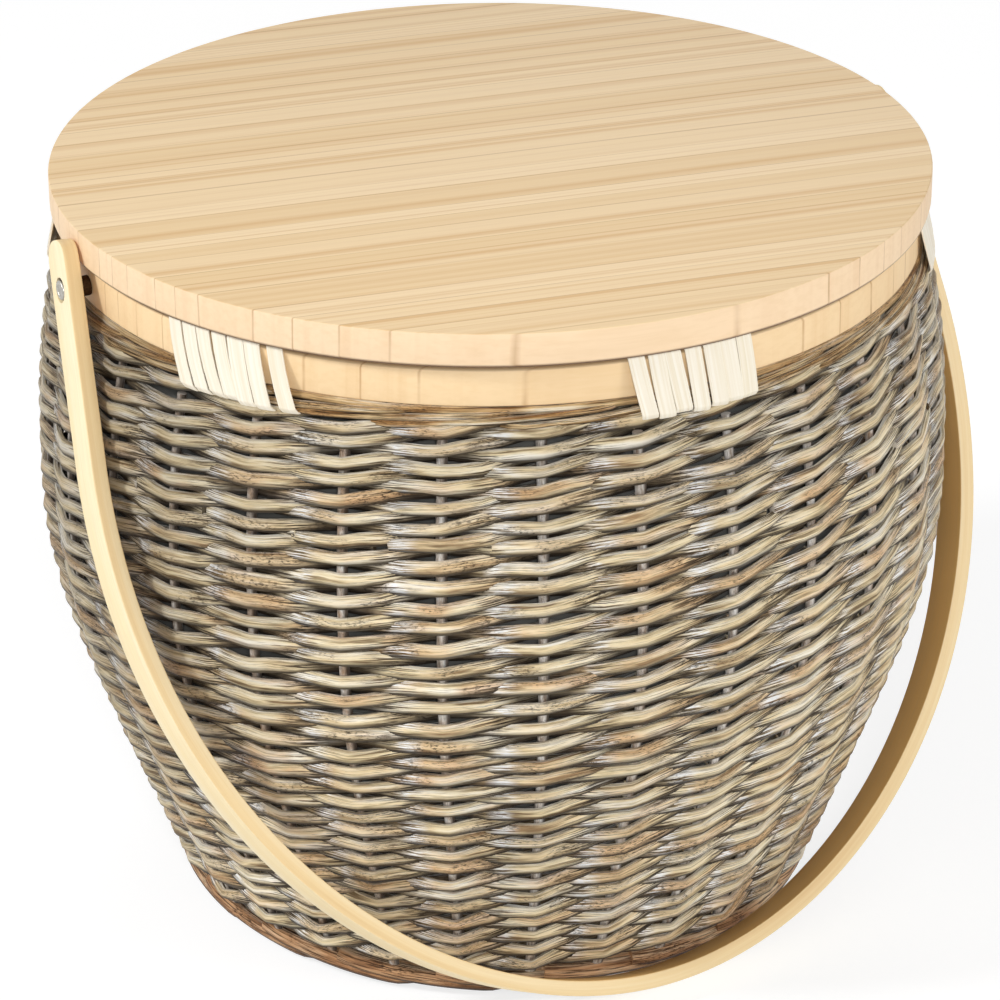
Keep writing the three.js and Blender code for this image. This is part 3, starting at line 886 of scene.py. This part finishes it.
def pineFinish(name, look):
    # plainer on the edges, below plainBelow, with painted shade on the joint of lid and rim, where the
    # lid's overhang shades it
    finish, shader = newFinish(name, Specular_IOR_Level=0.35)
    spot = objectSpot()
    mapping = put("Mapping", None, Vector=spot, Rotation=(0, 0, radians(pine["turn"])))
    strips = useGroup(pineGroup, Vector=mapping.outputs[0], Shift=look["shift"])
    height = parted(spot)["Z"]
    plainBelow, marks = look["plainBelow"], pine["edgeMarks"]
    marked = spread(height, plainBelow, plainBelow + pine["edgeFade"], marks, 1.0)
    fromAxis = fed("VectorMath", {"operation": "LENGTH"}, {0: stretched(spot, (1, 1, 0))})
    atRim = spread(fromAxis["Value"], 0.1938, 0.1956)
    colour = layered(look["pale"], [
        (times(marked, spread(strips["Tone"], 0, 1, 0.0, 0.85)), look["deep"]),
        (times(marked, times(strips["Grain"], 0.75)), look["late"]),
        (spread(marked, marks, 1.0, 0.55, 0.0), look["edge"]),
        (spread(strips["Fibre"], 0.42, 0.72, 0.0, 0.25), look["fibre"]),
        (times(strips["Line"], 0.7), look["line"]),
        # painted shade: darker along the joint of lid and rim
        (times(spread(height, look["jointShadeFrom"], look["jointShadeTo"], 0.0, 0.9), atRim), look["jointShade"]),
    ])
    dress(shader, colour, spread(strips["Fibre"], 0.3, 0.7, 0.62, 0.48), strips["Fibre"], 0.12, 0.0004)
    return finish


pineLid = pineFinish("pineLid", {
    "pale": "f3d9b1", "deep": "e6c797", "late": "d5ac76", "fibre": "dab684", "line": "a87a4a",
    "edge": "f3d5b5", "jointShade": "4a2a14",
    "shift": 0.31, "jointShadeFrom": 0.3411, "jointShadeTo": 0.3400, "plainBelow": 0.3546,
})
ringWood = {
    "pale": "f3dab0", "deep": "e8c994", "late": "d8ae74", "fibre": "deb980", "line": "a9743f",
    "edge": "efcda0",
}
pineRing = pineFinish("pineRing", {
    **ringWood, "jointShade": "51331a",
    "shift": 0.57, "jointShadeFrom": 0.3360, "jointShadeTo": 0.3372, "plainBelow": 0.3400,
})
pineDisc = pineFinish("pineDisc", {
    **ringWood, "jointShade": "e0bd8a",
    "shift": 0.72, "jointShadeFrom": 0.3376, "jointShadeTo": 0.3392, "plainBelow": 0.3000,
})

rim = {
    "inner": 0.174, "outer": 0.196, "bottom": 0.320, "top": 0.3375, "edge": 0.0009, "shoulder": 0.0026,
    "steps": 168,
}
pivot = {
    "height": 0.32875, "shank": 0.0025, "bore": 0.0029, "bite": 0.018, "spacer": 0.0045, "washer": 0.0052,
    "head": 0.0044, "headHeight": 0.0012, "recess": 0.0057, "recessDepth": 0.0022, "gap": 0.0003,
    "dome": ((0, 0.0007), (0.0002, 0.0010)), "crown": 0.0006, "dish": (0.0016, 0.0019), "steps": 40,
    "rimDrill": 0.05, "boreDrill": 0.06, "recessDrill": 0.02, "drillSides": 24,
}
ringPiece = spinSection(roundedSection([
    (rim["inner"], rim["bottom"]), (rim["outer"], rim["bottom"]),
    (rim["outer"], rim["top"]), (rim["inner"], rim["top"]),
], (rim["edge"], rim["edge"], rim["shoulder"], rim["edge"])), rim["steps"])
for sideSign in (-1, 1):
    place = sideSign * (rim["outer"] - pivot["bite"] + pivot["rimDrill"] / 2)
    radius = pivot["shank"] + pivot["gap"]
    drill(ringPiece, pivot["drillSides"], radius, pivot["rimDrill"], place, pivot["height"])
settle(ringPiece, "rim_ring_pine", pineRing, "basket", "pine", "rim_ring")

lid = {
    "radius": 0.200, "bottom": 0.3391, "thickness": 0.016, "topEdge": 0.0006, "bottomEdge": 0.0022,
    "steps": 168, "smoothAngle": 40, "discEase": 0.002, "discEdge": 0.0006, "discSteps": 120,
}
deselectAll()
bpy.ops.mesh.primitive_cylinder_add(
    vertices=lid["steps"], radius=lid["radius"], depth=lid["thickness"],
    location=(0, 0, lid["bottom"] + lid["thickness"] / 2))
boardPiece = bpy.context.object
for level, offset in ((1, lid["topEdge"]), (-1, lid["bottomEdge"])):
    setMode("EDIT")
    bpy.ops.mesh.select_mode(type="EDGE")
    bpy.ops.mesh.select_all(action="DESELECT")
    setMode("OBJECT")
    for edge in boardPiece.data.edges:
        ends = [boardPiece.data.vertices[index].co.z for index in edge.vertices]
        edge.select = all(abs(end - level * lid["thickness"] / 2) < weldDistance for end in ends)
    setMode("EDIT")
    bpy.ops.mesh.bevel(offset=offset, segments=3, profile=0.5, affect="EDGES")
    setMode("OBJECT")
smooth(lid["smoothAngle"])
settle(boardPiece, "lid_board_pine", pineLid, "lid", "pine", "lid_board")

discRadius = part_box("lid_locating_disc")[1].x
discLow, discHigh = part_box("lid_locating_disc")[0].z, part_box("lid_locating_disc")[1].z
discPiece = spinSection([
    (0, discLow), (discRadius - lid["discEase"], discLow),
    (discRadius - lid["discEdge"], discLow + lid["discEdge"]),
    (discRadius, discLow + lid["discEase"]), (discRadius, discHigh), (0, discHigh),
], lid["discSteps"], closed=False)
settle(discPiece, "lid_disc_pine", pineDisc, "lid", "pine", "lid_locating_disc")
print("lid and rim turned")

# Cane bindings: a flat strip wound round the rim and the border
cane = {
    "count": 6, "loops": 7, "pitch": 2.4, "half": 0.0039, "thin": 0.0005, "gap": 0.0004, "boxy": 0.45,
    "borderOut": 0.2013, "borderLow": 0.3116, "borderIn": 0.1899, "smoothAngle": 40,
    "easing": ((0, 0.0020), (0.0008, 0.0005), (0.0026, 0)),
    "stray": 0.35, "uneven": 0.0016, "roll": 7, "slip": 0.22, "lastStray": 0.9,
    "leans": (0.9, 1.0, 1.6, 0.8, 1.2, 3.2), "fans": (1.8, 0.4, 0.2, 0.6, 0.3, 0.5),
}


def caneFinish():
    finish, shader = newFinish("ivoryCane", Specular_IOR_Level=0.45)
    streak = useGroup(fibres, Vector=ownUv(), Along=9.0, Across=4.0)
    colour = ramped(streak["Broad"], [
        (0.30, "e6dabf"), (0.45, "ece2cd"), (0.6, "f1e9d8"), (0.75, "f4eee0"),
    ])
    colour = mixed(spread(streak["Fine"], 0.30, 0.24, 0.0, 0.3), colour, "a98c60")
    gloss = spread(streak["Fine"], 0.3, 0.7, 0.55, 0.4)
    dress(shader, colour, gloss, streak["Broad"], 0.25, 0.0004)
    return finish


ivoryCane = caneFinish()
caneHull = [Vector(corner) for corner in (
    (rim["inner"], rim["top"]), (rim["outer"], rim["top"]),
    *((cane["borderOut"] - inward, cane["borderLow"] + rise) for inward, rise in cane["easing"]),
    (cane["borderIn"], cane["borderLow"]), (rim["inner"], rim["bottom"]),
)]


def caneLoop():
    # points round the hull with their outward normals, rounded at each corner
    loop = []
    lift = cane["gap"] + cane["thin"]
    for at, corner in enumerate(caneHull):
        into = (corner - caneHull[at - 1]).normalized()
        ahead = caneHull[(at + 1) % len(caneHull)] - corner
        onward = ahead.normalized()
        normals = [Vector((-into.y, into.x)), Vector((-onward.y, onward.x))]
        for share in (0, 0.33, 0.67, 1):
            normal = normals[0].lerp(normals[1], share).normalized()
            loop.append((corner + normal * lift, normal))
        for share in (0.33, 0.67):
            loop.append((corner + ahead * share + normals[1] * lift, normals[1]))
    return loop


def caneStations(seed, strayLast, lean, fan):
    # lean is the whole slant in degrees, and fan how much of it the last loop loses
    chance = random.Random(seed)
    loop = caneLoop()
    spans = [(loop[(at + 1) % len(loop)][0] - loop[at][0]).length for at in range(len(loop))]
    girth = sum(spans)
    ranges = ((-cane["slip"], cane["slip"]), (0.93, 1.05), (-1, 1), (-1, 1))
    slips, wide, slants, rolls = [
        [chance.uniform(low, high) for _ in range(cane["loops"] + 2)] for low, high in ranges]
    tallness = rim["top"] - cane["borderLow"]
    stations = []
    travelled = 0.0
    for turn in range(cane["loops"]):
        stray = strayLast if turn == cane["loops"] - 1 else 0
        for (spot, normal), span in zip(loop, spans):
            share = travelled / girth
            lowness = (rim["top"] - spot.y) / tallness - 0.5
            slope = lean * (1 - fan * share / cane["loops"]) + cane["stray"] * between(slants, share)
            slip = between(slips, share) + slope * lowness * (0.8 + 0.4 * (lowness + 0.5))
            azimuth = radians((share - cane["loops"] / 2) * cane["pitch"] + slip + stray)
            outward = (around(1, azimuth, 0) * normal.x + up * normal.y).normalized()
            side = Vector((cos(azimuth), sin(azimuth), 0))
            roll = radians(cane["roll"]) * between(rolls, share)
            outward, side = outward + side * roll, side - outward * roll
            half = cane["half"] * between(wide, share)
            height = spot.y + cane["uneven"] * slants[int(share)] * max(0.0, lowness)
            stations.append((around(spot.x, azimuth, height), outward, side, cane["thin"], half))
            travelled += span
    return stations


for binding in range(cane["count"]):
    wound = newBundle()
    stray = cane["lastStray"] if binding == cane["count"] - 1 else 0.0
    stations = caneStations(40 + binding, stray, cane["leans"][binding], cane["fans"][binding])
    layRod(wound, stations, dice.random(), 12, dice.uniform(0, 9), cane["boxy"])
    piece = tieBundle(wound, cane["smoothAngle"])
    piece.data.transform(turned(binding * 360 / cane["count"]))
    node = f"cane_binding_{binding + 1}"
    settle(piece, f"cane_strip_{binding + 1}", ivoryCane, "basket", "cane", node)
print("bindings wound")

# Handle: one bent strip with rounded ears
handle = {
    "thickness": 0.007, "width": 0.023, "ear": 0.022, "spacer": 0.0066, "leg": 0.082, "legGap": 0.0009,
    "kneeFlare": 4, "bowSide": 0.167, "bowBottom": 0.113, "footGap": 0.0005, "floorGap": 0.0006,
    "edge": 0.0006, "steps": 60, "legSteps": 16, "earRound": 2.5,
    "earShares": (0.012, 0.05, 0.12, 0.22, 0.35, 0.5, 0.7, 1.0),
}


def handleLean():
    # halves the range until the bow touches the foot and the floor
    low, high = 0.0, pi / 3
    drop = pivot["height"] - handle["floorGap"]
    rest = footBorder["outer"] + handle["footGap"]
    for _ in range(50):
        angle = (low + high) / 2
        inward = handle["width"] / 2 + rest * cos(angle)
        if (drop - handle["thickness"] * cos(angle)) * sin(angle) - inward > 0:
            high = angle
        else:
            low = angle
    return (low + high) / 2


lean = handleLean()
halfWidth = handle["width"] / 2
handleReach = (pivot["height"] - handle["floorGap"] - halfWidth * sin(lean)) / cos(lean)
pivotInner = rim["outer"] + handle["spacer"]
kneeBack = -handle["leg"] * sin(lean) + halfWidth * cos(lean)
kneeHeight = pivot["height"] - handle["leg"] * cos(lean) - halfWidth * sin(lean)
kneeInner = sqrt(wallRadius(kneeHeight) ** 2 - kneeBack ** 2) + handle["legGap"]
legSlope = (kneeInner - pivotInner) / handle["leg"]


def handleHalf():
    # right half of the outer face: (place, tangent, width), from the ear's end to the bow's middle
    along = Vector((legSlope, 1)).normalized()

    def outerAt(fall):
        return Vector((pivotInner + handle["thickness"] + legSlope * fall, fall))

    stations = []
    for share in handle["earShares"]:
        width = handle["width"] * (1 - (1 - share) ** handle["earRound"]) ** (1 / handle["earRound"])
        stations.append((outerAt(halfWidth * share - handle["ear"]), along, width))
    earEnd = halfWidth - handle["ear"]
    for step in range(1, handle["legSteps"]):
        fall = earEnd + (handle["leg"] - earEnd) * step / handle["legSteps"]
        stations.append((outerAt(fall), along, handle["width"]))
    knee = outerAt(handle["leg"])
    onward = Vector((tan(radians(handle["kneeFlare"])), 1)).normalized()
    controls = [
        knee, knee + onward * handle["bowSide"],
        Vector((handle["bowBottom"], handleReach)), Vector((0, handleReach)),
    ]
    for step in range(handle["steps"] + 1):
        share = step / handle["steps"]
        tangent = Vector((0, 0))
        for at, slope in enumerate(((1 - share) ** 2, 2 * share * (1 - share), share * share)):
            tangent += (controls[at + 1] - controls[at]) * slope
        stations.append((cubicSpot(controls, share), tangent.normalized(), handle["width"]))
    return stations


def stripSection(width):
    # rounded rectangle of (depth from the outer face, place across, how far onto the thin side)
    edge = min(handle["edge"], width * 0.3)
    half = width / 2
    section = roundedSection([
        (handle["thickness"], -half), (handle["thickness"], half), (0, half), (0, -half),
    ], (edge,) * 4, 3)
    return [(depth, across, max(0.0, (abs(across) - half) / edge + 1)) for depth, across in section]


def bendStrip():
    bundle = newBundle()
    rightHalf = handleHalf()
    lengths = []
    for sideSign, stations in ((1, rightHalf), (-1, rightHalf[:-1][::-1])):
        for spot, tangent, width in stations:
            inward = Vector((-tangent.y, tangent.x))
            section = stripSection(width)
            for depth, across, thinSide in section:
                place = spot + inward * depth
                bundle["points"].append(Vector((sideSign * place.x, across, -place.y)))
                bundle["tones"].append(thinSide)
                bundle["phases"].append(depth / handle["thickness"])
            count = len(section)
            here = len(bundle["points"]) - count
            step = (bundle["points"][here] - bundle["points"][here - count]).length if lengths else 0.0
            lengths.append(lengths[-1] + step if lengths else step)
    skinRings(bundle, 0, count, lengths)
    return bundle


def bentFinish():
    finish, shader = newFinish("bentWood", Specular_IOR_Level=0.4)
    uv = ownUv()
    broad = useGroup(fibres, Vector=uv, Along=3.5, Across=2.2)["Broad"]
    fine = useGroup(fibres, Vector=uv, Shift=3.0, Along=16.0, Across=9.0)["Fine"]
    colour = ramped(broad, [(0.3, "fae3ae"), (0.46, "fce9bd"), (0.6, "fdeec9"), (0.75, "fef3d6")])
    sawn = ramped(broad, [(0.3, "e0be89"), (0.5, "ebd09e"), (0.72, "f2deb5")])
    thinSide = attribute("tone")
    inside = attribute("phase")
    colour = layered(colour, [
        (spread(inside, 0.7, 1.0, 0.0, 0.9), "ecb769"),
        (spread(thinSide, 0.3, 0.95), sawn),
        (spread(fine, 0.45, 0.75, 0.0, 0.25), "d4ae74"),
        (spread(fine, 0.30, 0.24, 0.0, 0.6), "a67c46"),
    ])
    dress(shader, colour, spread(fine, 0.3, 0.7, 0.55, 0.42), fine, 0.12, 0.0004)
    return finish


bentWood = bentFinish()
handlePiece = tieBundle(bendStrip(), sharpAngle)
recessFloor = pivotInner + handle["thickness"] - pivot["recessDepth"]
for sideSign in (-1, 1):
    place = sideSign * pivotInner
    drill(handlePiece, pivot["drillSides"], pivot["bore"], pivot["boreDrill"], place, 0)
    place = sideSign * (recessFloor + pivot["recessDrill"] / 2)
    drill(handlePiece, pivot["steps"], pivot["recess"], pivot["recessDrill"], place, 0)
handlePiece.data.transform(Matrix.Translation((0, 0, pivot["height"])) @ Matrix.Rotation(-lean, 4, "X"))
settle(handlePiece, "handle_strip", bentWood, "handle", "bent_wood", "handle")
print("handle bent")


# Pivot hardware and lid screws
def metalFinish(name, colour, worn, roughness):
    finish, shader = newFinish(name, Metallic=1.0)
    wear = noisy(objectSpot(), 700.0, 4.0)
    gloss = spread(wear, 0.3, 0.7, roughness + 0.12, roughness - 0.08)
    dress(shader, mixed(spread(wear, 0.35, 0.75), colour, worn), gloss)
    return finish


brightSteel = metalFinish("brightSteel", "a9a69e", "c4c1b9", 0.36)
# painted shade: the washers' dark grey stands in for the shade round the screw heads
shadeDarkSteel = metalFinish("shadeDarkSteel", "3a3531", "4a443e", 0.5)
# painted shade: the spacers' dark brown stands in for the shade beside the handle's legs
shadeBrownSteel = metalFinish("shadeBrownSteel", "44301f", "573d28", 0.75)
hardware = {"spacer": shadeBrownSteel, "washer": shadeDarkSteel, "screw": brightSteel}


def pivotSection(kind, node):
    # section along the screw's axis, from the node's own box
    lowest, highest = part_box(node)
    start, end = sorted((abs(lowest.x), abs(highest.x)))
    gap = pivot["gap"]
    if kind == "screw":
        shank, head, seat = pivot["shank"], pivot["head"], end - pivot["headHeight"]
        dishEdge, dishFloor = pivot["dish"]
        return False, [
            (0, start), (shank, start + shank), (shank, seat), (head - gap, seat), (head, seat + gap),
            *((head - inward, seat + rise) for inward, rise in pivot["dome"]),
            (head - pivot["crown"], end), (head - dishEdge, end),
            (head - dishFloor, end - gap), (0, end - gap),
        ]
    radius, inner = pivot[kind], pivot["bore"]
    corners = [(inner, start), (radius, start), (radius, end), (inner, end)]
    return True, roundedSection(corners, (gap,) * 4, 2)


for word, sideSign in (("left", -1), ("right", 1)):
    for kind in ("spacer", "washer", "screw"):
        node = f"pivot_{kind}_{word}"
        closed, section = pivotSection(kind, node)
        piece = spinSection(section, pivot["steps"], closed)
        piece.data.transform(Matrix.Rotation(sideSign * pi / 2, 4, "Y"))
        piece.data.transform(Matrix.Translation((0, 0, pivot["height"])))
        bodies = frame["record"]["behaviour"]["bodies"]
        body = next(name for name, members in bodies.items() if node in members)
        settle(piece, f"{kind}_{word}", hardware[kind], body, "steel", node)

lidScrew = {
    "count": 4, "dishInner": 0.0012, "dishOuter": 0.0016, "dishDepth": 0.0004,
    "edge": 0.0003, "edgeRise": 0.0002, "shank": 0.002, "neck": 0.0024, "steps": 24,
}
for screw in range(lidScrew["count"]):
    node = f"lid_screw_{screw + 1}"
    lowest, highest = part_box(node)
    middle = (lowest + highest) / 2
    head = (highest.x - lowest.x) / 2
    low, shank = lowest.z, lidScrew["shank"]
    piece = spinSection([
        (0, low + lidScrew["dishDepth"]), (lidScrew["dishInner"], low + lidScrew["dishDepth"]),
        (lidScrew["dishOuter"], low), (head - lidScrew["edge"], low), (head, low + lidScrew["edgeRise"]),
        (shank, low + lidScrew["neck"]), (shank, highest.z), (0, highest.z),
    ], lidScrew["steps"], closed=False)
    piece.data.transform(Matrix.Translation((middle.x, middle.y, 0)))
    settle(piece, f"lid_fixing_{screw + 1}", brightSteel, "lid", "steel", node)
print("hardware fitted")

# Stage, light and camera
shot = {
    "distance": 2.0, "elevation": 26.52, "azimuth": -26.0, "roll": -0.4, "clipEnd": 50,
    "aside": 0.0033, "aimHeight": 0.17895, "lens": 152.37, "sensor": 36.0,
}
turnAngle = radians(shot["azimuth"])
facing = Matrix.Rotation(turnAngle, 4, "Z") @ Matrix.Rotation(pi / 2 - radians(shot["elevation"]), 4, "X")
cameraData = bpy.data.cameras.new("camera")
cameraData.lens = shot["lens"]
cameraData.sensor_width = shot["sensor"]
cameraData.clip_end = shot["clipEnd"]
camera = linked("camera", cameraData)
aim = Matrix.Translation(facing @ Vector((shot["aside"], 0, 0)) + up * shot["aimHeight"])
away = Matrix.Translation((0, 0, shot["distance"])) @ Matrix.Rotation(radians(shot["roll"]), 4, "Z")
camera.matrix_world = aim @ facing @ away
bpy.context.scene.camera = camera
bpy.context.scene.view_settings.view_transform = "Standard"

lamps = {
    "key": {"from": (-2.1, -0.8, 2.0), "size": 0.5, "power": 43},
    "front": {"from": (0.1, -2.4, 1.4), "size": 0.45, "power": 25.5},
    "right": {"from": (2.2, -1.0, 1.2), "size": 0.9, "power": 21},
    "back": {"from": (0.4, 2.2, 1.8), "size": 1.6, "power": 10},
}
lampAim = up * 0.2
for name, lamp in lamps.items():
    data = bpy.data.lights.new(name, "AREA")
    data.shape = "DISK"
    data.size = lamp["size"]
    data.energy = lamp["power"]
    light = linked(name, data)
    light.location = Matrix.Rotation(turnAngle, 3, "Z") @ Vector(lamp["from"])
    light.rotation_euler = (light.location - lampAim).to_track_quat("Z", "Y").to_euler()

studio = {"ambient": 0.23, "floorRadius": 9, "floorDrop": 0.0004, "lit": 0.9, "seen": 0.38, "glow": 0.72}
world = bpy.data.worlds.new("studio")
bpy.context.scene.world = world
world.use_nodes = True
bench["tree"] = world.node_tree
skyNode = world.node_tree.nodes["Background"]
feed(skyNode.inputs["Color"], "ffffff")
feed(skyNode.inputs["Strength"], spread(seenShare(), 0, 1, studio["ambient"], 1.0))

deselectAll()
bpy.ops.mesh.primitive_circle_add(
    vertices=64, radius=studio["floorRadius"], fill_type="NGON", location=(0, 0, -studio["floorDrop"]))
floor = bpy.context.object
floor.name = "floor"
floorFinish, floorShader = newFinish("paleFloor", Specular_IOR_Level=0.1)
floorSeen = seenShare()
floorTone = mixed(floorSeen, (*[studio["lit"]] * 3, 1), (*[studio["seen"]] * 3, 1))
dress(floorShader, floorTone, 0.9)
feed(floorShader.inputs["Emission Color"], "ffffff")
feed(floorShader.inputs["Emission Strength"], times(floorSeen, studio["glow"]))
floor.data.materials.append(floorFinish)
print("stage, light and camera set")
